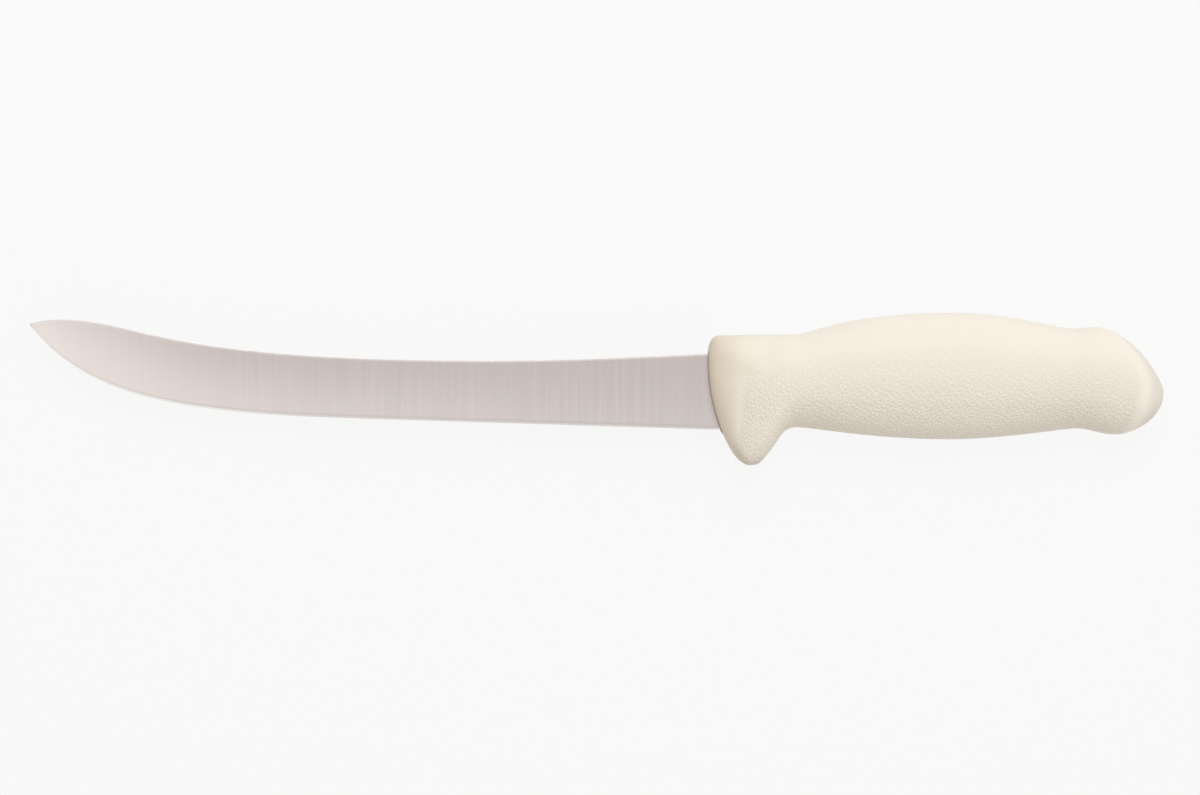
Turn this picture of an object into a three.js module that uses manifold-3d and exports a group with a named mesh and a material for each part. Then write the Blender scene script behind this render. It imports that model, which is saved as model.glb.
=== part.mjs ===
// Butcher's knife with a narrow upswept blade and a moulded soft-grip handle.
// The blade's hidden tang is moulded into a rigid core, and a soft grip is moulded over the core.
// Millimetres, +Z up. The knife lies on one cheek of its handle.
// X runs from the tip to the butt, and Y from the edge to the spine.
// The pieces are drawn about the tang line, X = 0 at the handle's front and Z = 0 in mid steel.
import * as THREE from "three";
import { mergeVertices } from "three/addons/utils/BufferGeometryUtils.js";
import Module from "manifold-3d";

// Heights are measured up from the tang line, and drops are measured down from it.
const CLEARANCE = 0.3; // between a moulding and what it holds

// Blade outline
const BLADE_LENGTH = 203.2; // tip to handle, 8 inches
const HEEL_SPINE_HEIGHT = 7.9;
const HEEL_EDGE_DROP = 14.8;
const DIP_FROM_HANDLE = 66; // lowest place of the hollow spine
const DIP_HEIGHT = 5.74;
const CREST_FROM_TIP = 8.6; // highest place of the upswept spine
const CREST_HEIGHT = 18.13;
const TIP_HEIGHT = 16.55;
const TIP_BLUNT = 0.9;
const TIP_ANGLE = 51; // degrees, slope of the edge as it reaches the tip
const SWEEP_FROM_TIP = 96; // where the straight edge starts its sweep up to the tip
const SWEEP_DROP = 11.4;

// Blade section
const SPINE_THICK_HEEL = 2;
const SPINE_THICK_TIP = 0.9;
const SPINE_CHAMFER = 0.2;
const BEVEL_WIDTH = 0.6; // the sharpened strip along the edge
const BEVEL_THICK = 0.4; // steel behind that strip
const EDGE_LAND = 0.1;

// Steel inside the handle
const HEEL_DEPTH = 8; // full-height blade let into the handle's front
const TANG_HEIGHT = 12;
const TANG_ROOT = 2; // how far the tang runs into the heel that it grows from
const TANG_COVER = 24; // from the tang's end to the core's end
const TANG_HOLES = 3;
const TANG_HOLE_DIAMETER = 5;

// Handle outline, seen from the side
const HANDLE_LENGTH = 136.6;
const COLLAR_HEIGHT = 13.35; // top of the handle's front
const COLLAR_ROUND_LENGTH = 3;
const COLLAR_ROUND_HEIGHT = 4.75;
const THUMB_REST_LENGTH = 26.5;
const THUMB_REST_HEIGHT = 13.7;
const HUMP_FROM_BUTT = 63.8;
const HUMP_HEIGHT = 20.2;
const NECK_FROM_BUTT = 26.8; // slight waist ahead of the butt
const NECK_HEIGHT = 15.4;
const NECK_DROP = 14.5;
const BEAK_BEHIND_NECK = 6; // crest of the butt's upper corner
const BEAK_HEIGHT = 15.85;
const HOOK_BEHIND_NECK = 12.6; // lowest place of the butt's lower corner
const HOOK_DROP = 16.35;
const BUTT_DROP = 3.5; // the rearmost point lies below the tang line
const BELLY_FROM_BUTT = 64;
const BELLY_DROP = 17.8;
const NOTCH_FROM_FRONT = 26.5; // finger notch behind the guard
const NOTCH_DROP = 14.2;
const GUARD_DROP = 25.5;
const GUARD_ROUND_LENGTH = 2.5;
const GUARD_ROUND_HEIGHT = 4.6;
const RAKE_RADIUS = 54.2; // arc of the front as it leans back towards the guard
const RAKE_START_HEIGHT = 5.5;
const RAKE_FADE = 21.7; // behind this the sections stand upright

// Handle section
const HANDLE_THICK = 25; // over the two flat cheeks
const CHEEK_CUT = 0.3; // taken off each side of the oval to make its cheek flat
const OVAL_POWER = 2.1; // 2 is an ellipse, and more is squarer
const COLLAR_POWER = 4.5; // upper half of the front sections
const COLLAR_LENGTH = 18; // behind this the upper half is the body's
const GUARD_POWER = 9; // lower half of the front sections
const GUARD_LENGTH = 28; // behind this the lower half is the body's
const GUARD_START_DROP = 5; // below this the collar turns into the guard
const GUARD_TIP_THICK = 24; // the guard narrows to this
const GUARD_NOSE_LENGTH = 4.5; // the guard's front is rounded over less than the collar's
const NOSE_LAND = 1; // flat strip of the front on each side of the steel
const NOSE_LENGTH = 25;
const NOSE_POWER = 2.3;
const BUTT_LENGTH = 30.6;
const BUTT_POWER = 2.3;
const BUTT_FLAT_DEPTH = 0.05; // the last of the rounded butt, left as a small flat

// Core inside the grip
const GRIP_WALL = 3;
const GRIP_BUTT_WALL = 10;
const CORE_ROUND_LENGTH = 14;
const PEG_ROOT = 1; // how far a peg runs into the core on each side of the tang

// An outline's runs are cubic curves. Each pair gives how far the curve holds its first and its last
// direction, as shares of the run.
const DIP_TO_CREST = [0.8, 0.2];
const SWEEP_TO_TIP = [0.54, 0.29];
const COLLAR_CORNER = [0.3, 0.7];
const REST_TO_HUMP = [0.07, 0.66];
const HUMP_TO_NECK = [0.49, 0.15];
const NECK_TO_BEAK = [0.4, 0.4];
const BEAK_TO_BUTT = [0.55, 0.17];
const GUARD_TO_NOTCH = [0.875, 0.333];
const NOTCH_TO_BELLY = [0.12, 0.52];
const BELLY_TO_NECK = [0.4, 0.05];
const NECK_TO_HOOK = [0.4, 0.4];
const HOOK_TO_BUTT = [0.3, 0.69];
const QUARTER_ROUND = [0.5523, 0.5523];

// Facets
const OUTLINE_STEPS = 80;
const GRIP_RING_POINTS = 40;
const CORE_RING_POINTS = 24;
const ROUND_SEGMENTS = 24;
const NOSE_STATIONS = 9;
const BUTT_STATIONS = 11;
const CORE_ROUND_STATIONS = 8;
const GUARD_STEP = 2;
const BODY_STEP = 5;
const BLADE_STATIONS = 52;
const BLADE_STATION_POWER = 2; // crowds the stations towards the tip

const coreFront = HEEL_DEPTH + CLEARANCE;
const coreEnd = HANDLE_LENGTH - GRIP_BUTT_WALL;
const tangEnd = coreEnd - TANG_COVER;
const neckAt = HANDLE_LENGTH - NECK_FROM_BUTT;
const pocketThick = SPINE_THICK_HEEL + 2 * CLEARANCE;
const { clamp, lerp, smoothstep, degToRad } = THREE.MathUtils;

const steel = new THREE.MeshStandardMaterial({ color: 0xcbc3c0, roughness: 0.36, metalness: 0.95 });
const rigidPlastic = new THREE.MeshStandardMaterial({ color: 0xd8d0bf, roughness: 0.55, metalness: 0 });
const softGrip = new THREE.MeshStandardMaterial({ color: 0xeee7d7, roughness: 0.68, metalness: 0 });

const wasm = await Module();
wasm.setup();

function solidFrom(geometry) {
  const bare = geometry.clone();
  bare.deleteAttribute("normal");
  bare.deleteAttribute("uv");
  const merged = mergeVertices(bare);
  const mesh = new wasm.Mesh({
    numProp: 3,
    vertProperties: new Float32Array(merged.attributes.position.array),
    triVerts: new Uint32Array(merged.index.array),
  });
  return new wasm.Manifold(mesh);
}

function geometryFrom(solid) {
  const mesh = solid.getMesh();
  const geometry = new THREE.BufferGeometry();
  geometry.setAttribute("position", new THREE.BufferAttribute(mesh.vertProperties, 3));
  geometry.setIndex(new THREE.BufferAttribute(mesh.triVerts, 1));
  geometry.computeVertexNormals();
  return geometry;
}

// Outlines

// A run between two places where the outline is level.
function levelRun(path, x, y, [leave, arrive]) {
  const from = path.currentPoint.clone();
  const span = x - from.x;
  path.bezierCurveTo(from.x + leave * span, from.y, x - arrive * span, y, x, y);
}

// A run from a level place to an upright one.
function roundDown(path, x, y, [leave, arrive]) {
  const from = path.currentPoint.clone();
  path.bezierCurveTo(from.x + leave * (x - from.x), from.y, x, y - arrive * (y - from.y), x, y);
}

// A run from an upright place to a level one.
function roundUp(path, x, y, [leave, arrive]) {
  const from = path.currentPoint.clone();
  path.bezierCurveTo(from.x, from.y + leave * (y - from.y), x - arrive * (x - from.x), y, x, y);
}

function bladeSpineLine() {
  const path = new THREE.Path();
  path.moveTo(HEEL_DEPTH, HEEL_SPINE_HEIGHT);
  path.lineTo(0, HEEL_SPINE_HEIGHT);
  const third = DIP_FROM_HANDLE / 3;
  const halfway = (HEEL_SPINE_HEIGHT + DIP_HEIGHT) / 2;
  path.bezierCurveTo(-third, halfway, -2 * third, DIP_HEIGHT, -DIP_FROM_HANDLE, DIP_HEIGHT);
  levelRun(path, CREST_FROM_TIP - BLADE_LENGTH, CREST_HEIGHT, DIP_TO_CREST);
  const half = CREST_FROM_TIP / 2;
  const shoulder = (CREST_HEIGHT + TIP_HEIGHT) / 2;
  const tip = [-BLADE_LENGTH, TIP_HEIGHT + TIP_BLUNT / 2];
  path.bezierCurveTo(half - BLADE_LENGTH, CREST_HEIGHT, half / 2 - BLADE_LENGTH, shoulder, ...tip);
  return path.getPoints(OUTLINE_STEPS).reverse();
}

function bladeEdgeLine() {
  const heel = new THREE.Vector2(0, -HEEL_EDGE_DROP);
  const sweep = new THREE.Vector2(SWEEP_FROM_TIP - BLADE_LENGTH, -SWEEP_DROP);
  const tip = new THREE.Vector2(-BLADE_LENGTH, TIP_HEIGHT - TIP_BLUNT / 2);
  const [leave, arrive] = SWEEP_TO_TIP;
  const ahead = sweep.clone().sub(heel).setLength(leave * SWEEP_FROM_TIP).add(sweep);
  const below = new THREE.Vector2(arrive * SWEEP_FROM_TIP, 0);
  below.rotateAround(new THREE.Vector2(), -degToRad(TIP_ANGLE)).add(tip);
  const path = new THREE.Path();
  path.moveTo(HEEL_DEPTH, heel.y);
  path.lineTo(heel.x, heel.y);
  path.lineTo(sweep.x, sweep.y);
  path.bezierCurveTo(ahead.x, ahead.y, below.x, below.y, tip.x, tip.y);
  return path.getPoints(OUTLINE_STEPS).reverse();
}

function handleTopLine() {
  const path = new THREE.Path();
  path.moveTo(0, COLLAR_HEIGHT - COLLAR_ROUND_HEIGHT);
  roundUp(path, COLLAR_ROUND_LENGTH, COLLAR_HEIGHT, COLLAR_CORNER);
  path.lineTo(THUMB_REST_LENGTH, THUMB_REST_HEIGHT);
  levelRun(path, HANDLE_LENGTH - HUMP_FROM_BUTT, HUMP_HEIGHT, REST_TO_HUMP);
  levelRun(path, neckAt, NECK_HEIGHT, HUMP_TO_NECK);
  levelRun(path, neckAt + BEAK_BEHIND_NECK, BEAK_HEIGHT, NECK_TO_BEAK);
  roundDown(path, HANDLE_LENGTH, -BUTT_DROP, BEAK_TO_BUTT);
  return path.getPoints(OUTLINE_STEPS);
}

// Ahead of the notch this line is drawn as if the raked sections stood upright.
function handleBottomLine() {
  const path = new THREE.Path();
  path.moveTo(0, GUARD_ROUND_HEIGHT - GUARD_DROP);
  roundUp(path, GUARD_ROUND_LENGTH, -GUARD_DROP, QUARTER_ROUND);
  levelRun(path, NOTCH_FROM_FRONT, -NOTCH_DROP, GUARD_TO_NOTCH);
  levelRun(path, HANDLE_LENGTH - BELLY_FROM_BUTT, -BELLY_DROP, NOTCH_TO_BELLY);
  levelRun(path, neckAt, -NECK_DROP, BELLY_TO_NECK);
  levelRun(path, neckAt + HOOK_BEHIND_NECK, -HOOK_DROP, NECK_TO_HOOK);
  roundDown(path, HANDLE_LENGTH, -BUTT_DROP, HOOK_TO_BUTT);
  return path.getPoints(OUTLINE_STEPS);
}

// The height of an outline at x, from its points in order of x.
function heightAt(line, x) {
  const next = line.findIndex((point) => point.x >= x);
  if (next === 0) return line[0].y;
  if (next < 0) return line.at(-1).y;
  const before = line[next - 1];
  const after = line[next];
  return lerp(before.y, after.y, (x - before.x) / (after.x - before.x));
}

// Lofted solids

function evenly(from, to, step) {
  const count = Math.max(1, Math.round((to - from) / step));
  return Array.from({ length: count + 1 }, (_, i) => lerp(from, to, i / count));
}

// Angles from 0 to a right angle.
function quarterTurn(count) {
  return evenly(0, Math.PI / 2, Math.PI / 2 / count);
}

// A ring from one side of a section: [x, y, z] points with z >= 0, from top middle to bottom middle.
function mirroredRing(side) {
  const near = side.map((point) => new THREE.Vector3(...point));
  const far = side.slice(1, -1).reverse().map(([x, y, z]) => new THREE.Vector3(x, y, -z));
  return [...near, ...far];
}

// A closed solid through the sides of sections that follow one another along +X.
function loft(sides) {
  const rings = sides.map(mirroredRing);
  const count = rings[0].length;
  const last = (rings.length - 1) * count;
  const index = [];
  const quad = (a, b, c, d) => index.push(a, b, c, a, c, d);
  for (let r = 0; r < last; r += count) {
    for (let i = 0; i < count; i++) {
      const j = (i + 1) % count;
      quad(r + i, r + j, r + count + j, r + count + i);
    }
  }
  for (let i = 0; i < count / 2; i++) {
    const across = (count - i) % count;
    quad(i, across, count - i - 1, i + 1);
    quad(last + i, last + i + 1, last + count - i - 1, last + across);
  }
  const geometry = new THREE.BufferGeometry().setFromPoints(rings.flat());
  geometry.setIndex(index);
  return solidFrom(geometry);
}

// One side of a squared oval between two heights. Its upper and lower halves each have their power.
function ovalSide(x, top, bottom, half, ringPoints, upper, lower) {
  const middle = (top + bottom) / 2;
  const reach = (top - bottom) / 2;
  const turns = evenly(0, Math.PI, (2 * Math.PI) / ringPoints);
  return turns.map((turn, i) => {
    const up = Math.cos(turn);
    const out = i === 0 || i === turns.length - 1 ? 0 : Math.sin(turn);
    const power = 2 / (up > 0 ? upper : lower);
    return [x, middle + reach * Math.sign(up) * Math.abs(up) ** power, half * out ** power];
  });
}

// Blade

const spineLine = bladeSpineLine();
const edgeLine = bladeEdgeLine();

// One side of the blade's section, or with grow of the room that it needs.
function bladeSide(x, grow) {
  const spine = heightAt(spineLine, x) + grow;
  const edge = heightAt(edgeLine, x) - grow;
  const taper = Math.max(-x, 0) / BLADE_LENGTH;
  const half = lerp(SPINE_THICK_HEEL, SPINE_THICK_TIP, taper) / 2 + grow;
  const chamfer = Math.min(SPINE_CHAMFER, (spine - edge) / 4);
  const bevel = Math.min(BEVEL_WIDTH, (spine - edge) / 4);
  return [
    [x, spine, 0],
    [x, spine, half - chamfer],
    [x, spine - chamfer, half],
    [x, edge + bevel, BEVEL_THICK / 2 + grow],
    [x, edge, EDGE_LAND / 2 + grow],
    [x, edge, 0],
  ];
}

function tangShape(grow) {
  const round = TANG_HEIGHT / 2 + grow;
  const start = HEEL_DEPTH - TANG_ROOT;
  const roundAt = tangEnd - TANG_HEIGHT / 2;
  const shape = new THREE.Shape();
  shape.moveTo(start, -round);
  shape.lineTo(roundAt, -round);
  shape.absarc(roundAt, 0, round, -Math.PI / 2, Math.PI / 2, false);
  shape.lineTo(start, round);
  shape.closePath();
  return shape;
}

function plate(shape, thick) {
  const options = { depth: thick, bevelEnabled: false, curveSegments: ROUND_SEGMENTS };
  return solidFrom(new THREE.ExtrudeGeometry(shape, options).translate(0, 0, -thick / 2));
}

// The room that the tang needs in the mouldings.
function tangPocket() {
  return plate(tangShape(CLEARANCE), pocketThick);
}

function tangHolePlaces() {
  const pitch = (tangEnd - HEEL_DEPTH) / TANG_HOLES;
  return Array.from({ length: TANG_HOLES }, (_, i) => HEEL_DEPTH + pitch * (i + 0.5));
}

function makeBlade() {
  const stations = evenly(0, 1, 1 / BLADE_STATIONS).map((share) => {
    return lerp(-BLADE_LENGTH, HEEL_DEPTH, share ** BLADE_STATION_POWER);
  });
  const tang = tangShape(0);
  for (const x of tangHolePlaces()) {
    tang.holes.push(new THREE.Path().absarc(x, 0, TANG_HOLE_DIAMETER / 2, 0, 2 * Math.PI, true));
  }
  return loft(stations.map((x) => bladeSide(x, 0))).add(plate(tang, SPINE_THICK_HEEL));
}

// The room that the let-in heel needs in the grip, open to the front.
function heelSlot() {
  const stations = evenly(-NOSE_LENGTH, coreFront, BODY_STEP);
  return loft(stations.map((x) => bladeSide(x, CLEARANCE)));
}

// Handle

const topLine = handleTopLine();
const bottomLine = handleBottomLine();

// Half the thickness over the cheeks, at a place along the handle and a height.
function cheekAt(s, y) {
  const guard = smoothstep(-y, GUARD_START_DROP, GUARD_DROP) * (1 - smoothstep(s, 0, GUARD_LENGTH));
  const ahead = clamp(1 - s / lerp(NOSE_LENGTH, GUARD_NOSE_LENGTH, guard), 0, 1);
  const nose = (1 - ahead ** NOSE_POWER) ** (1 / NOSE_POWER);
  const behind = clamp(1 - (HANDLE_LENGTH - s) / BUTT_LENGTH, 0, 1);
  const butt = (1 - behind ** BUTT_POWER) ** (1 / BUTT_POWER);
  const full = lerp(HANDLE_THICK, GUARD_TIP_THICK, guard) / 2;
  return lerp(SPINE_THICK_HEEL / 2 + NOSE_LAND, full, nose) * butt;
}

// How far the front lies behind its upper part, at a height.
function rakeAt(y) {
  const below = clamp(RAKE_START_HEIGHT - y, 0, RAKE_RADIUS);
  return RAKE_RADIUS - Math.sqrt(RAKE_RADIUS ** 2 - below ** 2);
}

// The oval is drawn with its cheeks at 1 after the cut, and then takes its thickness.
function gripSide(s) {
  const uncut = 1 + (2 * CHEEK_CUT) / HANDLE_THICK;
  const raked = 1 - smoothstep(s, 0, RAKE_FADE);
  const upper = lerp(COLLAR_POWER, OVAL_POWER, smoothstep(s, 0, COLLAR_LENGTH));
  const lower = lerp(GUARD_POWER, OVAL_POWER, smoothstep(s, 0, GUARD_LENGTH));
  const [top, bottom] = [heightAt(topLine, s), heightAt(bottomLine, s)];
  const side = ovalSide(s, top, bottom, uncut, GRIP_RING_POINTS, upper, lower);
  return side.map(([x, y, z]) => [x + raked * rakeAt(y), y, Math.min(z, 1) * cheekAt(s, y)]);
}

// Stations crowd together where the nose and the butt round off.
function gripStations() {
  const buttStart = HANDLE_LENGTH - BUTT_LENGTH;
  const buttRun = BUTT_LENGTH - BUTT_FLAT_DEPTH;
  const nose = quarterTurn(NOSE_STATIONS).map((turn) => NOSE_LENGTH * (1 - Math.cos(turn)));
  const guard = evenly(NOSE_LENGTH, NOTCH_FROM_FRONT, GUARD_STEP).slice(1);
  const body = evenly(NOTCH_FROM_FRONT, buttStart, BODY_STEP).slice(1, -1);
  const butt = quarterTurn(BUTT_STATIONS).map((turn) => buttStart + buttRun * Math.sin(turn));
  return [...nose, ...guard, ...body, ...butt];
}

// One side of the core's section, drawn in by share, or with grow of the room that it needs.
function coreSide(x, share, grow) {
  const floor = x < NOTCH_FROM_FRONT ? -NOTCH_DROP : heightAt(bottomLine, x);
  const top = heightAt(topLine, x) - GRIP_WALL;
  const bottom = floor + GRIP_WALL;
  const middle = (top + bottom) / 2;
  const reach = (share * (top - bottom)) / 2 + grow;
  const half = share * (cheekAt(x, 0) - GRIP_WALL) + grow;
  return ovalSide(x, middle + reach, middle - reach, half, CORE_RING_POINTS, OVAL_POWER, OVAL_POWER);
}

// The core's outside, or with grow the room that it needs. Its rear end is rounded, with a small flat.
function coreBar(grow) {
  const roundStart = coreEnd - CORE_ROUND_LENGTH;
  const roundRun = CORE_ROUND_LENGTH + grow;
  const straight = evenly(coreFront, roundStart, BODY_STEP).map((x) => coreSide(x, 1, grow));
  const front = straight[0].map(([x, y, z]) => [x - grow, y, z]);
  const turns = quarterTurn(CORE_ROUND_STATIONS).slice(1, -1);
  const round = turns.map((turn) => coreSide(roundStart + roundRun * Math.sin(turn), Math.cos(turn), grow));
  return loft([front, ...straight.slice(1), ...round]);
}

function makeCore() {
  const pegRadius = TANG_HOLE_DIAMETER / 2 - CLEARANCE;
  const pegLength = pocketThick + 2 * PEG_ROOT;
  let core = coreBar(0).subtract(tangPocket());
  for (const x of tangHolePlaces()) {
    const peg = new THREE.CylinderGeometry(pegRadius, pegRadius, pegLength, ROUND_SEGMENTS);
    core = core.add(solidFrom(peg.rotateX(Math.PI / 2).translate(x, 0, 0)));
  }
  return core;
}

function makeGrip() {
  const outside = loft(gripStations().map(gripSide));
  return outside.subtract(heelSlot()).subtract(tangPocket()).subtract(coreBar(CLEARANCE));
}

function piece(name, solid, material) {
  const mesh = new THREE.Mesh(geometryFrom(solid), material);
  mesh.name = name;
  return mesh;
}

const handle = new THREE.Group();
handle.add(piece("handle_core", makeCore(), rigidPlastic));
handle.add(piece("handle_grip", makeGrip(), softGrip));

// The knife lies on its lower cheek, with the middle of its outline at the origin.
const knife = new THREE.Group();
knife.add(piece("blade", makeBlade(), steel), handle);
const highest = Math.max(HUMP_HEIGHT, CREST_HEIGHT);
knife.position.set((BLADE_LENGTH - HANDLE_LENGTH) / 2, (GUARD_DROP - highest) / 2, HANDLE_THICK / 2);

export default knife;
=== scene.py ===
import bpy
import numpy as np
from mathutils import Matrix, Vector


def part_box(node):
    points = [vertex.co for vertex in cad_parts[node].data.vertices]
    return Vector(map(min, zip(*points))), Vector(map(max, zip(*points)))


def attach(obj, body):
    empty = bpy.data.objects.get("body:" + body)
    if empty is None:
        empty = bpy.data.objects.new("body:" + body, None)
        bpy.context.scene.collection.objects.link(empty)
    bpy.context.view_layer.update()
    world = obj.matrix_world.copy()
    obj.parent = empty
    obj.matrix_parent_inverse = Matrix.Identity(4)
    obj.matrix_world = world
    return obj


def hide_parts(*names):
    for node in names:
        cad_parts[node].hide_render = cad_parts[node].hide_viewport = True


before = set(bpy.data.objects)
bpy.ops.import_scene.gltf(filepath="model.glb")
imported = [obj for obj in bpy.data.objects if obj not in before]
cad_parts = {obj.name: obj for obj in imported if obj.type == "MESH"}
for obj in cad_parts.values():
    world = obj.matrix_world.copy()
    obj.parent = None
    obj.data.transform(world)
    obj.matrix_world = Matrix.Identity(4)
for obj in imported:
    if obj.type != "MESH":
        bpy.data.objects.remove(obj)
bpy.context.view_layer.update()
mm = 0.001

# shapes are worked out in mm from the tang line's start: the handle's front, at mid steel
gripLow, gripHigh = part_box("handle_grip")
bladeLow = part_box("blade")[0]
humpHeight = 20.2  # the handle's highest place above the tang line
tangStart = np.array([gripLow.x, gripHigh.y - humpHeight * mm, (gripLow.z + gripHigh.z) / 2])
gripLength = (gripHigh.x - gripLow.x) / mm
halfThick = (gripHigh.z - gripLow.z) / 2 / mm
bladeLength = (gripLow.x - bladeLow.x) / mm
print("frame: handle %.1f mm, blade %.1f mm" % (gripLength, bladeLength))


# curves and surfaces

def cubic(a, b, c, d, steps=90):  # a cubic curve's points, from its ends a and d and its pulls b and c
    t = np.linspace(0, 1, steps)[:, None]
    a, b, c, d = (np.array(p, float) for p in (a, b, c, d))
    return (1 - t) ** 3 * a + 3 * (1 - t) ** 2 * t * b + 3 * (1 - t) * t**2 * c + t**3 * d


def levelRun(a, d, leave, arrive):  # level at both ends
    span = d[0] - a[0]
    return cubic(a, (a[0] + leave * span, a[1]), (d[0] - arrive * span, d[1]), d)


def roundDown(a, d, leave, arrive):  # level at a, upright at d
    return cubic(a, (a[0] + leave * (d[0] - a[0]), a[1]), (d[0], d[1] - arrive * (d[1] - a[1])), d)


def roundUp(a, d, leave, arrive):  # upright at a, level at d
    return cubic(a, (a[0], a[1] + leave * (d[1] - a[1])), (d[0] - arrive * (d[0] - a[0]), d[1]), d)


def heightOf(runs):  # the height of joined runs as a function of x
    line = np.vstack(runs)
    line = line[np.argsort(line[:, 0], kind="stable")]
    return lambda x: np.interp(x, line[:, 0], line[:, 1])


def smooth(low, high, x):  # 0 below low, 1 above high, eased between
    t = np.clip((x - low) / (high - low), 0, 1)
    return t * t * (3 - 2 * t)


def softMin(a, b, blend):  # the lesser of two, rounded over where they meet
    return -blend * np.logaddexp(-a / blend, -b / blend)


def meshFromRings(name, rings, values=None):
    # rings is a grid of points, ring by ring. Each ring closes on itself and each end on its middle
    # point. Faces point to the left of the way round, as seen along the way the rings go
    count, around = rings.shape[:2]
    points = np.vstack([rings.reshape(-1, 3), rings[0].mean(0), rings[-1].mean(0)])
    i = np.arange(around)
    j = (i + 1) % around
    r = np.arange(count - 1)[:, None] * around
    quads = np.stack([r + i, r + j, r + around + j, r + around + i], -1).reshape(-1, 4)
    first = count * around
    last = (count - 1) * around
    capA = np.stack([np.full(around, first), j, i], -1)
    capB = np.stack([np.full(around, first + 1), i + last, j + last], -1)
    mesh = bpy.data.meshes.new(name)
    mesh.from_pydata(tangStart + points * mm, [], quads.tolist() + capA.tolist() + capB.tolist())
    for key, grid in (values or {}).items():
        ends = [grid[0].mean(), grid[-1].mean()]
        layer = mesh.attributes.new(key, "FLOAT", "POINT")
        layer.data.foreach_set("value", np.append(grid.ravel(), ends).astype(np.float32))
    mesh.polygons.foreach_set("use_smooth", np.ones(len(mesh.polygons), bool))
    mesh.update()
    piece = bpy.data.objects.new(name, mesh)
    bpy.context.collection.objects.link(piece)
    return piece


# shader maths

class Shade:  # a socket that takes part in Python expressions
    def __init__(self, tree, socket=None):
        self.tree = tree
        self.socket = socket

    def node(self, kind, settings=None, inputs=None, out=0):
        made = self.tree.nodes.new(kind)
        for key, value in (settings or {}).items():
            setattr(made, key, value)
        for key, value in (inputs or {}).items():
            if isinstance(value, Shade):
                self.tree.links.new(value.socket, made.inputs[key])
            else:
                made.inputs[key].default_value = value
        return Shade(self.tree, made.outputs[out] if made.outputs else None)

    def math(self, operation, a, b):
        return self.node("ShaderNodeMath", {"operation": operation}, {0: a, 1: b})

    def __add__(self, other):
        return self.math("ADD", self, other)

    def __radd__(self, other):
        return self.math("ADD", other, self)

    def __sub__(self, other):
        return self.math("SUBTRACT", self, other)

    def __rsub__(self, other):
        return self.math("SUBTRACT", other, self)

    def __mul__(self, other):
        return self.math("MULTIPLY", self, other)

    def __rmul__(self, other):
        return self.math("MULTIPLY", other, self)

    def ease(self, low, high):  # 0 below low, 1 above high, eased between
        return self.node("ShaderNodeMapRange", {"interpolation_type": "SMOOTHSTEP"},
                         {"Value": self, "From Min": low, "From Max": high})

    def tint(self, amount, a, b):  # colour a to colour b
        return self.node("ShaderNodeMix", {"data_type": "RGBA"}, {0: amount, 6: a, 7: b}, out=2)

    def place(self, scale, turn=0.0, where=None):  # turned about Z, then scaled to so many per metre
        where = where or self.node("ShaderNodeTexCoord", out="Object")
        size = tuple(1 / s for s in scale)
        return self.node("ShaderNodeMapping", {"vector_type": "TEXTURE"},
                         {"Vector": where, "Rotation": (0, 0, turn), "Scale": size})

    def noise(self, scale, detail=2.0, rough=0.5, turn=0.0):
        return self.node("ShaderNodeTexNoise", {}, {"Vector": self.place(scale, turn), "Scale": 1.0,
                                                    "Detail": detail, "Roughness": rough})

    def bump(self, height, strength, depth):  # the normal that a height in metres gives
        return self.node("ShaderNodeBump", {}, {"Strength": strength, "Distance": depth, "Height": height})

    def value(self, name):  # a value kept on the piece's points
        return self.node("ShaderNodeAttribute", {"attribute_name": name}, out="Fac")


def srgb(r, g, b):  # an 8-bit screen colour as the linear one that a socket takes
    c = np.array([r, g, b]) / 255
    return (*np.where(c > 0.04045, ((c + 0.055) / 1.055) ** 2.4, c / 12.92).tolist(), 1.0)


def newMaterial(name):
    material = bpy.data.materials.new(name)
    material.use_nodes = True
    material.node_tree.nodes.clear()
    return material, Shade(material.node_tree)


def surface(shade, sockets):  # the finished Principled shader
    skin = shade.node("ShaderNodeBsdfPrincipled", {}, sockets)
    shade.node("ShaderNodeOutputMaterial", {}, {"Surface": skin})


# soft grip, in mm

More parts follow.
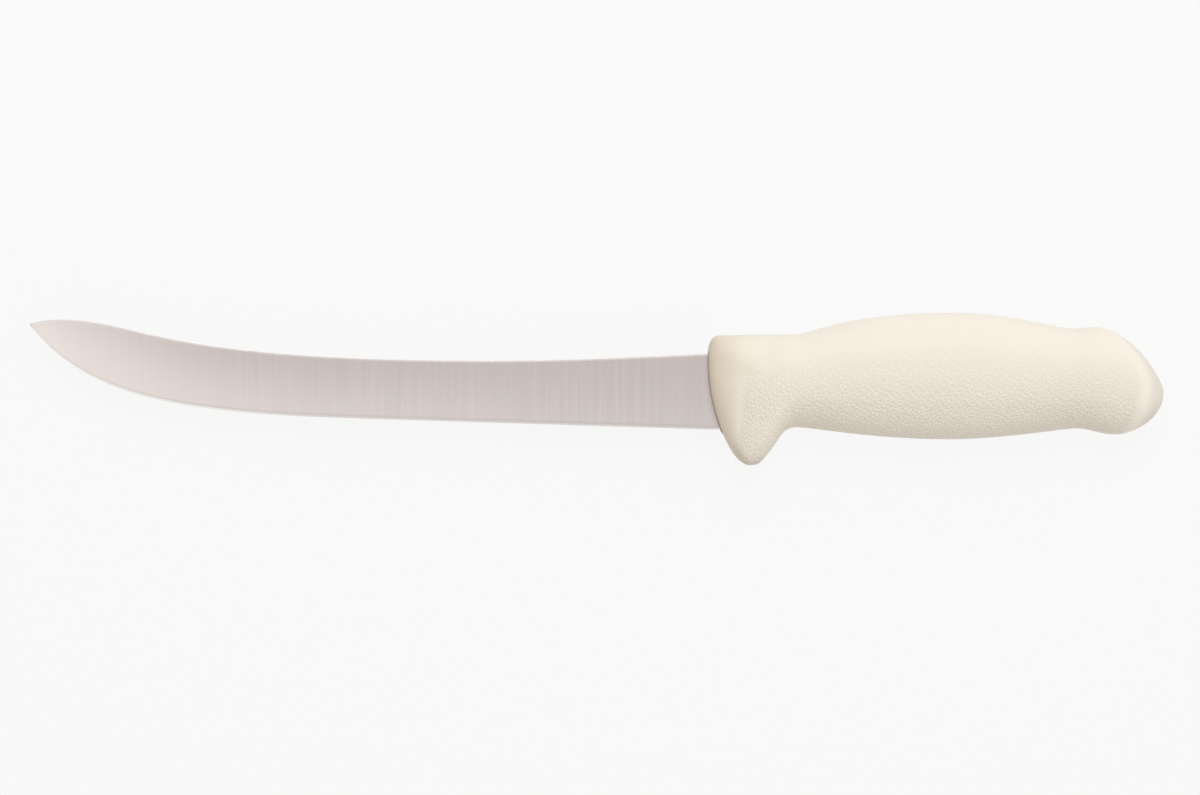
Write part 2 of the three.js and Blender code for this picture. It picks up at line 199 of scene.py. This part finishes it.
gripShape = dict(
    collarHeight=13.35, collarRound=(3.0, 4.75), thumbRest=26.5, restHeight=13.7,
    hump=63.8, neck=26.8, neckHeight=15.4, neckDrop=14.5,  # hump, neck and belly are measured from the butt
    beak=6.0, beakHeight=15.85, hook=12.6, hookDrop=16.35, buttDrop=3.5,  # beak and hook lie behind the neck
    belly=64.0, bellyDrop=17.8, notch=26.5, notchDrop=14.2,
    guardDrop=25.5, guardRound=(2.5, 4.6),
    # how far each run of the outline holds its first and its last direction
    collarCorner=(0.3, 0.7), restToHump=(0.07, 0.66), humpToNeck=(0.49, 0.15), neckToBeak=(0.4, 0.4),
    beakToButt=(0.55, 0.17), guardCorner=(0.5523, 0.5523), guardToNotch=(0.875, 0.333),
    notchToBelly=(0.12, 0.52), bellyToNeck=(0.4, 0.05), hookToButt=(0.3, 0.69),
    rakeRadius=54.2, rakeStart=5.5, rakeFade=21.7,
    ovalPower=2.1,  # squareness of the body's section
    collarPower=4.5, collarLength=18.0,  # of the front's upper half
    guardPower=6.0, guardLength=28.0,  # and of the front's lower half
    cheekCut=0.3, cheekFlat=0.36, cheekCrown=0.45, chineRound=0.12,
    noseHalf=2.0, noseLength=25.0, nosePower=2.3, guardNose=4.5, guardStart=5.0, guardTipThick=24.0,
    buttLength=30.6, buttPower=2.3, buttClose=0.01,
    slotGap=0.3, slotDepth=8.3, slotEnds=3.0, faceBelow=1.8, faceShare=0.96,
    rims=((0.02, 0.85), (0.15, 0.5), (0.6, 0.3)),  # depth in the slot's mouth, and gap to the steel there
    jointFade=3.6, jointEnds=3.0, jointDepth=(0.4, 1.1),  # the painted shade on the rim beside the steel
    wall=3.0, buttWall=10.0, coreRound=14.0,
    usualReach=18.5, around=244, step=0.39,  # half the usual height, points round a ring, mm between rings
)
pebbles = dict(
    size=1.4, height=0.025, groove=0.6, seed=7,
    front=(8.7, 0.12), rear=(131.0, 0.028), fade=(3.5, 4.8),  # lines that the grain ends at, and how softly
    worn=0.75, wornFrom=(-10.0, 14.0),
    plainAt=(-18.0, -8.0, 5.0),  # heights, and where the collar's plain zone, tinted with painted shade, starts and stops to fade there
    plainFrom=(1.0, 2.6, 0.0), plainTo=(5.0, 11.0, 18.0), plainRear=(-1.2, 3.2),
)


def gripLines(g):  # heights of the upper and the lower outline as functions of x
    neckAt = gripLength - g["neck"]
    neckUp = (neckAt, g["neckHeight"])
    neckDown = (neckAt, -g["neckDrop"])
    cornerX, cornerY = g["collarRound"]
    corner = (cornerX, g["collarHeight"])
    rest = (g["thumbRest"], g["restHeight"])
    hump = (gripLength - g["hump"], humpHeight)
    beak = (neckAt + g["beak"], g["beakHeight"])
    butt = (gripLength, -g["buttDrop"])
    top = heightOf([
        roundUp((0, g["collarHeight"] - cornerY), corner, *g["collarCorner"]), [rest],
        levelRun(rest, hump, *g["restToHump"]), levelRun(hump, neckUp, *g["humpToNeck"]),
        levelRun(neckUp, beak, *g["neckToBeak"]), roundDown(beak, butt, *g["beakToButt"])])
    tipX, tipY = g["guardRound"]
    guard = (tipX, -g["guardDrop"])
    notch = (g["notch"], -g["notchDrop"])
    belly = (gripLength - g["belly"], -g["bellyDrop"])
    hook = (neckAt + g["hook"], -g["hookDrop"])
    bottom = heightOf([
        roundUp((0, tipY - g["guardDrop"]), guard, *g["guardCorner"]),
        levelRun(guard, notch, *g["guardToNotch"]),
        levelRun(notch, belly, *g["notchToBelly"]), levelRun(belly, neckDown, *g["bellyToNeck"]),
        levelRun(neckDown, hook, *g["neckToBeak"]), roundDown(hook, butt, *g["hookToButt"])])
    return top, bottom


def cheekAt(g, s, y):  # half the thickness at s: a squared-oval nose, then level, then a squared-oval butt
    guard = smooth(g["guardStart"], g["guardDrop"], -y) * (1 - smooth(0, g["guardLength"], s))
    ahead = np.clip(1 - s / (g["noseLength"] + (g["guardNose"] - g["noseLength"]) * guard), 0, 1)
    nose = (1 - ahead ** g["nosePower"]) ** (1 / g["nosePower"])
    behind = np.clip(1 - (gripLength - s) / g["buttLength"], 0, 1)
    butt = (1 - behind ** g["buttPower"]) ** (1 / g["buttPower"])
    full = halfThick + (g["guardTipThick"] / 2 - halfThick) * guard
    return (g["noseHalf"] + (full - g["noseHalf"]) * nose) * butt


def squaredOval(turn, power):  # the point of |y|^power + |z|^power = 1 that lies at an angle
    up = np.cos(turn)
    out = np.sin(turn)
    away = (abs(up) ** power + abs(out) ** power) ** (1 / power)
    return up / away, out / away


def evenTurns(g):  # angles that lie evenly spaced on a squared oval of the handle's usual section
    fine = np.linspace(0, 2 * np.pi, 8001)
    up, out = squaredOval(fine, g["ovalPower"])
    steps = np.hypot(np.diff(g["usualReach"] * up), np.diff(halfThick * out))
    length = np.append(0, np.cumsum(steps))
    return np.interp(np.arange(g["around"]) / g["around"] * length[-1], length, fine)


def evenStations(g, top):  # places along the handle, evenly spaced on its skin with nose and butt
    fine = np.linspace(0, gripLength - g["buttClose"], 20001)
    steps = np.sqrt(np.diff(fine) ** 2 + np.diff(cheekAt(g, fine, 0)) ** 2 + (np.diff(top(fine)) / 2) ** 2)
    length = np.append(0, np.cumsum(steps))
    return np.interp(np.linspace(0, length[-1], int(length[-1] / g["step"])), length, fine)[:, None]


def rakeAt(g, y):  # how far the front lies behind its upper part at a height: an arc
    below = np.clip(g["rakeStart"] - y, 0, None)
    return g["rakeRadius"] - np.sqrt(g["rakeRadius"] ** 2 - below**2)


def gripSkin(g, s, turn, top, bottom):
    # a squared oval between the two lines, its cheeks flattened, and leaned back at the front
    upper = np.cos(turn) > 0
    front = np.where(upper, g["collarPower"], g["guardPower"])
    body = smooth(0, np.where(upper, g["collarLength"], g["guardLength"]), s)
    up, out = squaredOval(turn, front + (g["ovalPower"] - front) * body)
    y = (top(s) + bottom(s)) / 2 + (top(s) - bottom(s)) / 2 * up
    cheek = cheekAt(g, s, y)
    oval = cheek * (1 + g["cheekCut"] / halfThick) * abs(out)
    crown = g["cheekCrown"] * np.clip(abs(up) / g["cheekFlat"], 0, 1) ** 2 * cheek / halfThick
    z = np.maximum(softMin(oval, cheek - crown, g["chineRound"]), 0)
    z = np.where(abs(out) < 1e-6, 0, z)  # top and bottom lie in the middle plane
    x = s + (1 - smooth(0, g["rakeFade"], s)) * rakeAt(g, y)
    return np.stack([x, y, z * np.sign(out)], -1)


def skinDistances(g, skin):  # along the handle, and up each side from the middle of its cheek
    half = g["around"] // 2
    middle = half // 2
    steps = np.linalg.norm(np.diff(skin[:, :half + 1], axis=1), axis=-1)
    fromTop = np.hstack([np.zeros((len(skin), 1)), np.cumsum(steps, 1)])
    upSide = skin[:, [middle], 1] + fromTop[:, [middle]] - fromTop
    along = np.repeat(g["step"] * np.arange(len(skin))[:, None], g["around"], 1)
    return along, np.hstack([upSide, upSide[:, -2:0:-1]])


def cellRelief(points, size, seed):
    # rounded pebbles: space is cut into cells round scattered points, and a place is high where
    # it is far from the wall between its two nearest points
    lean = np.array([[0.36, 0.48, -0.8], [-0.8, 0.6, 0], [0.48, 0.64, 0.6]])  # so no row of cells shows
    points = points @ lean / size
    home = np.floor(points).astype(np.int64)
    nearest = np.full(len(points), 9.0)
    second = np.full(len(points), 9.0)
    steps = np.array(np.meshgrid([-1, 0, 1], [-1, 0, 1], [-1, 0, 1])).reshape(3, -1).T
    for step in steps:
        cell = home + step
        mix = (cell * np.array([73856093, 19349663, 83492791])).sum(1) + seed * 15485863
        scatter = np.stack([np.sin(mix % 104729 * (12.9898 + 7.1 * k)) * 43758.5453 for k in range(3)], 1)
        away = np.linalg.norm(cell + scatter - np.floor(scatter) - points, axis=1)
        second = np.minimum(second, np.maximum(nearest, away))
        nearest = np.minimum(nearest, away)
    return second - nearest


def shadeBesideSteel(g, y, z):  # the mask of painted shade beside the steel: 1 at the steel's section at the heel, fading out with distance from it
    over = np.maximum(y - bladeShape["heelSpine"], -bladeShape["heelEdge"] - y)
    beyond = g["jointEnds"] * np.maximum(over, 0)
    away = np.hypot(beyond, np.maximum(abs(z) - bladeShape["heelThick"] / 2, 0))
    return 1 - smooth(0, g["jointFade"], away)


def gripInside(g, turn, front, top, bottom):
    # rings of the front's flat face, of the slot for the heel, and of the room for the core
    spineY = bladeShape["heelSpine"]
    edgeY = -bladeShape["heelEdge"]
    faceY = np.maximum(front[:, 1], edgeY - g["faceBelow"])
    rings = [np.stack([rakeAt(g, faceY), faceY, g["faceShare"] * front[:, 2]], -1)[None]]

    # slot: the steel's section with a gap that narrows from the mouth
    up, out = squaredOval(turn, g["ovalPower"])
    slotY = (spineY + edgeY) / 2 + (spineY - edgeY) / 2 * up
    steel = np.interp(slotY, [edgeY, spineY], [bladeShape["bevelThick"] / 2, bladeShape["heelThick"] / 2])
    side = np.sign(out) * np.minimum(abs(out) * g["slotEnds"], 1)
    for depth, gap in g["rims"] + ((g["slotDepth"], g["slotGap"]),):
        ringX = depth + rakeAt(g, slotY) * (1 - smooth(0, g["slotDepth"], depth))
        rings.append(np.stack([ringX, slotY + gap * up, (steel + gap) * side], -1)[None])

    # core's room: the outline less the wall, with an oval end
    roundAt = gripLength - g["buttWall"] - g["coreRound"]
    roundX = roundAt + g["coreRound"] * np.sin(np.linspace(0.2, 1.5, 7))
    coreX = np.append(np.linspace(g["slotDepth"], roundAt, 12), roundX)[:, None]
    share = np.sqrt(1 - np.clip((coreX - roundAt) / g["coreRound"], 0, 0.999) ** 2)
    coreTop = top(coreX) - g["wall"]
    coreBottom = np.where(coreX < g["notch"], -g["notchDrop"], bottom(coreX)) + g["wall"]
    coreY = (coreTop + coreBottom) / 2 + ((coreTop - coreBottom) / 2 * share + g["slotGap"]) * up
    coreZ = (share * (cheekAt(g, coreX, 0) - g["wall"]) + g["slotGap"]) * out
    rings.append(np.stack([coreX + 0 * coreY, coreY, coreZ], -1))
    return np.concatenate(rings)


def makeGrip(g, p):
    top, bottom = gripLines(g)
    turn = evenTurns(g)
    s = evenStations(g, top)
    skin = gripSkin(g, s, turn, top, bottom)
    inside = gripInside(g, turn, skin[0], top, bottom)

    # where the finish changes and where shade is painted: grain, plain collar and butt, both with painted
    # shade, and painted shade on the rim beside the steel
    x, y, z = np.moveaxis(skin, -1, 0)
    frontX = p["front"][0] + p["front"][1] * y
    rearX = p["rear"][0] - p["rear"][1] * (y + g["buttDrop"]) ** 2
    grain = smooth(0, p["fade"][0], x - frontX) * smooth(0, p["fade"][1], rearX - x)
    grain = grain * (1 - p["worn"] * smooth(*p["wornFrom"], y))
    plainFrom = np.interp(y, p["plainAt"], p["plainFrom"])
    plainTo = np.interp(y, p["plainAt"], p["plainTo"])
    # the plain collar: its smooth zone, tinted darker as painted shade
    nose = 1 - smooth(plainFrom, plainTo, s)
    # the bare butt's rim: its smooth zone, tinted darker as painted shade
    rear = smooth(*p["plainRear"], x - rearX)
    # painted shade beside the steel, on the front of the grip
    jointShade = shadeBesideSteel(g, y, z) * (1 - smooth(*g["jointDepth"], s))
    along, upSide = skinDistances(g, skin)

    # the grooves between pebbles are sunk along the skin's normal
    relief = cellRelief(skin.reshape(-1, 3), p["size"], p["seed"]).reshape(x.shape)
    relief = smooth(0, p["groove"], relief)
    normal = np.cross(np.roll(skin, -1, 1) - np.roll(skin, 1, 1), np.gradient(skin, axis=0))
    normal /= np.linalg.norm(normal, axis=-1, keepdims=True) + 1e-9
    skin = skin + normal * (p["height"] * grain * (relief - 1))[..., None]

    none = np.zeros(inside.shape[:2])
    # inside the slot the grip is tinted dark as painted shade, and so is its front face beside the steel
    rimShade = none + 1
    rimShade[0] = shadeBesideSteel(g, inside[0, :, 1], inside[0, :, 2])
    values = {"grain": (grain, none), "hollow": (grain * (1 - relief), none), "nose": (nose, none + 1),
              "rear": (rear, none), "along": (along * mm, none), "upSide": (upSide * mm, none),
              "jointShade": (jointShade, rimShade)}  # on the skin, and inside
    values = {key: np.vstack([outer[::-1], inner]) for key, (outer, inner) in values.items()}
    return meshFromRings("grip", np.concatenate([skin[::-1], inside]), values)


# blade, in mm

bladeShape = dict(
    heelSpine=7.9, heelEdge=14.8, dip=66.0, dipHeight=5.74, crest=8.6, crestHeight=18.13,
    tipHeight=16.55, tipBlunt=0.9, tipAngle=51.0, sweep=96.0, sweepDrop=11.4,
    dipToCrest=(0.8, 0.2), sweepToTip=(0.54, 0.29),
    heelThick=2.0, tipThick=0.9, pointLength=14.0, pointShare=0.45,  # the last of the tip thins to a point
    spineRound=0.05, bevelWidth=0.6, bevelThick=0.4, bevelShare=0.6, edgeLand=0.06,
    swell=0.06, swellTall=20.0,
    heelDepth=8.0, tangHeight=12.0, tangCover=24.0, holes=3, holeDiameter=5.0,
    stations=420, crowd=0.8, outerEnd=-1.0, jointRun=(-0.9, 5.0, 0.12), face=26,  # crowded at the joint
)
bladeZones = dict(
    heelShade=0.3, heelRun=(-110.0, -10.0),  # painted shade: the lower face is darker near the heel
    jointEdge=(-0.08, 0.12), honedFade=0.3,
    tipStart=10.0, tipLean=1.6, tipRun=115.0, tipPower=0.7,  # painted reflection: the tip's brighter zone, leaned to the edge
)


def bladeLines(b):  # heights of the spine and the edge as functions of x
    crest = (b["crest"] - bladeLength, b["crestHeight"])
    dip = (-b["dip"], b["dipHeight"])
    heel = (0, b["heelSpine"])
    tipUp = (-bladeLength, b["tipHeight"] + b["tipBlunt"] / 2)
    half = b["crest"] / 2
    heelPull = (-b["dip"] / 3, (b["heelSpine"] + b["dipHeight"]) / 2)
    tipPull = (half / 2 - bladeLength, (b["crestHeight"] + b["tipHeight"]) / 2)
    spine = heightOf([
        [(b["heelDepth"], b["heelSpine"])],
        cubic(heel, heelPull, (-b["dip"] / 1.5, b["dipHeight"]), dip),
        levelRun(dip, crest, *b["dipToCrest"]),
        cubic(crest, (half - bladeLength, b["crestHeight"]), tipPull, tipUp)])
    sweep = np.array([b["sweep"] - bladeLength, -b["sweepDrop"]])
    low = np.array([0, -b["heelEdge"]])
    tipDown = np.array([-bladeLength, b["tipHeight"] - b["tipBlunt"] / 2])
    leave, arrive = b["sweepToTip"]
    ahead = sweep + (sweep - low) / np.linalg.norm(sweep - low) * leave * b["sweep"]
    angle = np.radians(b["tipAngle"])
    under = tipDown + arrive * b["sweep"] * np.array([np.cos(angle), -np.sin(angle)])
    edge = heightOf([[(b["heelDepth"], -b["heelEdge"])], [low], cubic(sweep, ahead, under, tipDown)])
    return spine, edge


def bladeStations(b):
    outer = b["outerEnd"] - (bladeLength + b["outerEnd"]) * np.linspace(1, 0, b["stations"]) ** b["crowd"]
    return np.concatenate([outer, np.arange(*b["jointRun"]), [b["heelDepth"]]])[:, None]


def tangRings(b, tangEnd, count):  # a flat bar with a round end, in rings of so many points a side
    half = b["tangHeight"] / 2
    roundAt = tangEnd - half
    turns = np.linspace(0, np.pi / 2, 14)[1:-1]
    straight = np.append(b["heelDepth"], np.linspace(b["heelDepth"] + 1, roundAt, 6))
    x = np.append(straight, roundAt + half * np.sin(turns))[:, None]
    reach = np.append(np.full(len(straight), half), half * np.cos(turns))[:, None]
    y = reach * np.concatenate([[1], np.linspace(1, -1, count - 2), [-1]])
    z = np.full_like(y, b["heelThick"] / 2)
    z[:, [0, -1]] = 0
    return np.stack([x + 0 * y, y, z], -1)


def makeBlade(b, zones):
    spine, edge = bladeLines(b)
    x = bladeStations(b)
    high = spine(x)
    low = edge(x)
    tall = high - low
    half = (b["heelThick"] + (b["tipThick"] - b["heelThick"]) * np.clip(-x, 0, None) / bladeLength) / 2
    half = half * (b["pointShare"] + (1 - b["pointShare"]) * smooth(0, b["pointLength"], x + bladeLength))
    bevelHalf = np.minimum(b["bevelThick"] / 2, b["bevelShare"] * half)
    bevel = np.minimum(b["bevelWidth"], tall / 4)

    # one side from the spine's middle to the edge's: rounded spine, faintly swelling face, honed strip
    corner = np.linspace(0, np.pi / 2, 5)
    share = np.linspace(0, 1, b["face"])[1:]
    slope = np.array([0.35, 0.7, 1.0])
    spineY = high - b["spineRound"] * (1 - np.cos(corner))
    spineZ = half - b["spineRound"] * (1 - np.sin(corner))
    faceTop = high - b["spineRound"]
    faceEnd = low + bevel
    faceY = faceTop + (faceEnd - faceTop) * share
    swell = b["swell"] * 4 * share * (1 - share) * np.minimum(tall / b["swellTall"], 1)
    faceZ = half + (bevelHalf - half) * share + swell
    stripY = faceEnd - bevel * slope
    stripZ = bevelHalf + (b["edgeLand"] / 2 - bevelHalf) * slope
    sideY = np.hstack([high, spineY, faceY, stripY, low])
    sideZ = np.hstack([0 * high, spineZ, faceZ, stripZ, 0 * low])
    rings = np.stack([x + 0 * sideY, sideY, sideZ], -1)

    # the tang goes on from the heel's ring, and the other side mirrors this one
    tangEnd = gripLength - gripShape["buttWall"] - b["tangCover"]
    tang = tangRings(b, tangEnd, sideY.shape[1])
    rings = np.concatenate([rings, tang])
    whole = np.concatenate([rings, rings[:, -2:0:-1] * np.array([1, 1, -1])], 1)

    # where painted light and shade change: painted shade down the face and at the joint with the grip, a
    # painted reflection at the tip, painted sheen on the strip
    hidden = np.zeros(tang.shape[:2])
    # painted shade: lighter from spine to edge, and darker near the heel
    across = (high - sideY) / tall * (1 - zones["heelShade"] * smooth(*zones["heelRun"], x))
    # painted shade on the steel at the joint with the grip
    jointShade = smooth(*zones["jointEdge"], x - rakeAt(gripShape, sideY))
    # painted reflection: the steel lighter towards the tip
    fromTip = x + bladeLength + zones["tipStart"] + zones["tipLean"] * (sideY - low)
    tip = 1 - smooth(0, zones["tipRun"], fromTip) ** zones["tipPower"]
    # the honed strip, whose lighter colour is painted sheen
    honedSheen = np.clip((faceEnd - sideY) / bevel / zones["honedFade"], 0, 1)
    values = {"across": (across, hidden), "jointShade": (jointShade, hidden + 1), "tip": (tip, hidden),
              "honedSheen": (honedSheen, hidden)}
    values = {key: np.vstack(pair) for key, pair in values.items()}
    values = {key: np.hstack([side, side[:, -2:0:-1]]) for key, side in values.items()}
    blade = meshFromRings("knife_blade", whole, values)
    drillTang(blade, b, tangEnd)
    return blade


def drillTang(blade, b, tangEnd):  # round holes through the tang, which the core's pegs fill
    pitch = (tangEnd - b["heelDepth"]) / b["holes"]
    radius = b["holeDiameter"] / 2
    turn = np.linspace(0, 2 * np.pi, 48, endpoint=False)
    z = np.array([-b["heelThick"], b["heelThick"]])[:, None] + 0 * turn
    for k in range(b["holes"]):
        x = b["heelDepth"] + pitch * (k + 0.5)
        ring = np.stack([x + radius * np.cos(turn) + 0 * z, radius * np.sin(turn) + 0 * z, z], -1)
        cutter = meshFromRings("tang_hole", ring)
        cut = blade.modifiers.new("hole", "BOOLEAN")
        cut.operation = "DIFFERENCE"
        cut.solver = "EXACT"
        cut.object = cutter
        with bpy.context.temp_override(object=blade, active_object=blade):
            bpy.ops.object.modifier_apply(modifier=cut.name)
        bpy.data.objects.remove(cutter)


# finishes: patterns are counted per metre, depths are in metres

gripLook = dict(
    # groove: the colour of the painted shade between pebbles
    cream=srgb(245, 241, 231), shade=srgb(240, 234, 222), groove=srgb(222, 211, 192),
    # plain and bare: the smooth collar's and butt's tones, both darkened as painted shade
    plain=srgb(229, 218, 200), plainShadeShare=0.95, bare=srgb(227, 221, 212), bareShare=0.8,
    # joint: painted shade beside the steel
    jointShade=srgb(142, 100, 80), jointShadeShare=0.85,
    clouds=(45, 45, 45), cloudRange=(0.35, 0.75), cloudShare=0.35,
    # cavity and hollow: painted shade in the grooves between pebbles
    beads=(640, 1150, 1150), lean=0.95, scatter=0.95, flank=0.5, depth=0.00019, cavityShade=0.28, hollow=0.08,
    fine=(1900, 2700, 2700), fineOnGrain=0.2, fineOnPlain=0.08,
    rough=0.6, roughGrain=0.12, roughFine=0.08, bend=1.48, gloss=0.4,
)
steelLook = dict(
    # dull and bright: shaded and lit tones of the steel, mixed by painted shade across the face and by the
    # grinding lines
    dullAndShaded=srgb(181, 173, 170), brightAndLit=srgb(204, 196, 193),
    acrossShadeShare=0.6, lineShare=0.32, range=(0.06, 0.84),
    # tip: painted reflection on the steel towards the tip
    tip=srgb(220, 212, 207), tipShare=0.9,
    # honed: painted sheen on the honed strip, stronger towards the tip
    honedSheen=srgb(244, 238, 234), honedSheenShare=0.46, honedSheenTip=0.54, honedSheenFrom=(0.0, 0.35),
    # joint: painted shade on the steel at the grip
    jointShade=srgb(120, 100, 90), jointShadeShare=0.75,
    lines=(1500, 18, 18), bands=(260, 12, 12), bandHeight=0.4, strength=0.3, depth=0.00003,
    rough=0.36, roughLines=0.14, roughBands=0.06,
)
coreLook = dict(
    plain=srgb(216, 208, 191), mottle=srgb(204, 195, 176), patches=(160, 160, 160), range=(0.3, 0.7),
    fine=(1800, 1800, 1800), strength=0.2, depth=0.00005, rough=0.5, roughFine=0.15,
)


def gripMaterial(look):
    material, sh = newMaterial("soft_grip")
    grain = sh.value("grain")
    fine = sh.noise(look["fine"], turn=look["lean"])
    cloud = sh.noise(look["clouds"], 3.0)
    onSkin = sh.node("ShaderNodeCombineXYZ", {}, {"X": sh.value("along"), "Y": sh.value("upSide")})
    spots = sh.place(look["beads"], look["lean"], onSkin)
    cells = sh.node("ShaderNodeTexVoronoi", {"feature": "DISTANCE_TO_EDGE", "voronoi_dimensions": "2D"},
                    {"Vector": spots, "Scale": 1.0, "Randomness": look["scatter"]})
    bead = cells.ease(0.0, look["flank"])
    tone = sh.tint(cloud.ease(*look["cloudRange"]) * look["cloudShare"], look["cream"], look["shade"])
    # the smooth collar, darkened as painted shade
    tone = sh.tint(sh.value("nose") * look["plainShadeShare"], tone, look["plain"])
    # the smooth butt's rim, darkened as painted shade
    tone = sh.tint(sh.value("rear") * look["bareShare"], tone, look["bare"])
    # painted shade in the grooves between pebbles
    sunkShade = sh.value("hollow") * look["hollow"] + grain * (1 - bead) * look["cavityShade"]
    tone = sh.tint(sunkShade, tone, look["groove"])
    # painted shade along the joint with the steel
    tone = sh.tint(sh.value("jointShade") * look["jointShadeShare"], tone, look["jointShade"])
    rough = look["rough"] + look["roughGrain"] * grain + look["roughFine"] * (fine - 0.5)
    height = grain * bead + look["fineOnGrain"] * grain * fine + look["fineOnPlain"] * fine
    surface(sh, {"Base Color": tone, "Roughness": rough, "Normal": sh.bump(height, 1.0, look["depth"]),
                 "IOR": look["bend"], "Specular IOR Level": look["gloss"]})
    return material


def steelMaterial(look):
    material, sh = newMaterial("satin_steel")
    tip = sh.value("tip")
    lines = sh.noise(look["lines"], 3.0, 0.6)  # grinding lines run from spine to edge
    bands = sh.noise(look["bands"])
    # grinding lines, mixed with painted shade that lightens from spine to edge
    linesAndShade = sh.value("across") * look["acrossShadeShare"] + lines * look["lineShare"]
    tone = sh.tint(linesAndShade.ease(*look["range"]), look["dullAndShaded"], look["brightAndLit"])
    # painted reflection towards the tip
    tone = sh.tint(tip * look["tipShare"], tone, look["tip"])
    # painted sheen on the honed strip, growing with the tip's painted reflection
    strip = look["honedSheenShare"] + look["honedSheenTip"] * tip.ease(*look["honedSheenFrom"])
    tone = sh.tint(sh.value("honedSheen") * strip, tone, look["honedSheen"])
    # painted shade at the joint with the grip
    tone = sh.tint(sh.value("jointShade") * look["jointShadeShare"], tone, look["jointShade"])
    rough = look["rough"] + look["roughLines"] * (lines - 0.5) + look["roughBands"] * (bands - 0.5)
    normal = sh.bump(lines + look["bandHeight"] * bands, look["strength"], look["depth"])
    surface(sh, {"Base Color": tone, "Roughness": rough, "Normal": normal, "Metallic": 1.0})
    return material


def coreMaterial(look):
    material, sh = newMaterial("rigid_plastic")
    mottle = sh.noise(look["patches"], 3.0)
    fine = sh.noise(look["fine"])
    tone = sh.tint(mottle.ease(*look["range"]), look["plain"], look["mottle"])
    rough = look["rough"] + look["roughFine"] * (fine - 0.5)
    normal = sh.bump(fine, look["strength"], look["depth"])
    surface(sh, {"Base Color": tone, "Roughness": rough, "Normal": normal})
    return material


grip = makeGrip(gripShape, pebbles)
print("grip: %d faces" % len(grip.data.polygons))
blade = makeBlade(bladeShape, bladeZones)
print("blade: %d faces" % len(blade.data.polygons))
for piece, node, slot, material in ((grip, "handle_grip", "soft_grip", gripMaterial(gripLook)),
                                    (blade, "blade", "satin_steel", steelMaterial(steelLook))):
    piece.data.materials.append(material)
    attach(piece, "root")
    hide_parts(node)
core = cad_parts["handle_core"]
core.data.materials.clear()
core.data.materials.append(coreMaterial(coreLook))
print("finishes: soft grip, satin steel, rigid plastic")


# floor, light and camera, in metres

stage = dict(paper=srgb(246, 246, 246), glow=srgb(250, 250, 250), share=0.93, size=6.0)
lamps = [  # name, place, size, power
    ("key", (0.12, 0.66, 1.165), 0.7, 6.7),
    ("left", (-0.5, 0.0, 1.35), 0.5, 0.3),
]
sky = dict(light=0.656, lean=0.29, warm=(1.0, 0.952, 0.9, 1.0), white=(1.0, 1.0, 1.0, 1.0), seen=0.947)
camera = dict(middle=(600, 397.5), photoWidth=1200, frontAt=(708, 380),  # photo pixels
              perPixel=0.3, distance=1.2, sensor=36.0)  # mm on the knife for a pixel


def seenRays(sh):  # 1 for what the camera sees, straight, in metal or through glass
    straight, mirrored, through = (sh.node("ShaderNodeLightPath", out="Is %s Ray" % kind)
                                   for kind in ("Camera", "Glossy", "Transmission"))
    return sh.math("MAXIMUM", sh.math("MAXIMUM", straight, mirrored), through)


def makeFloor(look):
    half = look["size"] / 2
    corners = [(-half, -half, 0), (half, -half, 0), (half, half, 0), (-half, half, 0)]
    mesh = bpy.data.meshes.new("floor")
    mesh.from_pydata(corners, [], [(0, 1, 2, 3)])
    floor = bpy.data.objects.new("floor", mesh)
    bpy.context.collection.objects.link(floor)
    material, sh = newMaterial("floor_paper")
    paper = sh.node("ShaderNodeBsdfDiffuse", {}, {"Color": look["paper"]})
    glow = sh.node("ShaderNodeEmission", {}, {"Color": look["glow"], "Strength": 1.0})
    mix = sh.node("ShaderNodeMixShader", {}, {0: seenRays(sh) * look["share"], 1: paper, 2: glow})
    sh.node("ShaderNodeOutputMaterial", {}, {"Surface": mix})
    mesh.materials.append(material)


def makeSky(look):
    world = bpy.data.worlds.new("studio")
    bpy.context.scene.world = world
    world.use_nodes = True
    world.node_tree.nodes.clear()
    sh = Shade(world.node_tree)
    seen = seenRays(sh)
    ray = sh.node("ShaderNodeTexCoord", out="Generated")
    across = sh.node("ShaderNodeSeparateXYZ", {}, {0: ray}, out="X")
    light = look["light"] * (1 + look["lean"] * across)  # more light from the butt's side
    strength = light + seen * (look["seen"] - light)
    tone = sh.tint(seen, look["warm"], look["white"])
    dome = sh.node("ShaderNodeBackground", {}, {"Color": tone, "Strength": strength})
    sh.node("ShaderNodeOutputWorld", {}, {"Surface": dome})


def makeLamp(name, place, size, power):
    lamp = bpy.data.lights.new(name, "AREA")
    lamp.shape = "SQUARE"
    lamp.size = size
    lamp.energy = power
    holder = bpy.data.objects.new(name, lamp)
    holder.location = place
    holder.rotation_euler = (-Vector(place)).to_track_quat("-Z", "Y").to_euler()  # faces the knife
    bpy.context.collection.objects.link(holder)


def makeCamera(look):
    lens = bpy.data.cameras.new("camera")
    holder = bpy.data.objects.new("camera", lens)
    perPixel = look["perPixel"] * mm
    aside = (look["middle"][0] - look["frontAt"][0]) * perPixel
    above = (look["frontAt"][1] - look["middle"][1]) * perPixel
    holder.location = tangStart + np.array([aside, above, look["distance"]])
    lens.sensor_width = look["sensor"]
    lens.lens = look["sensor"] * look["distance"] / (look["photoWidth"] * perPixel)
    bpy.context.collection.objects.link(holder)
    bpy.context.scene.camera = holder


makeFloor(stage)
makeSky(sky)
for lamp in lamps:
    makeLamp(*lamp)
makeCamera(camera)
bpy.context.scene.view_settings.view_transform = "Standard"
print("stage: floor, %d lamps, camera" % len(lamps))
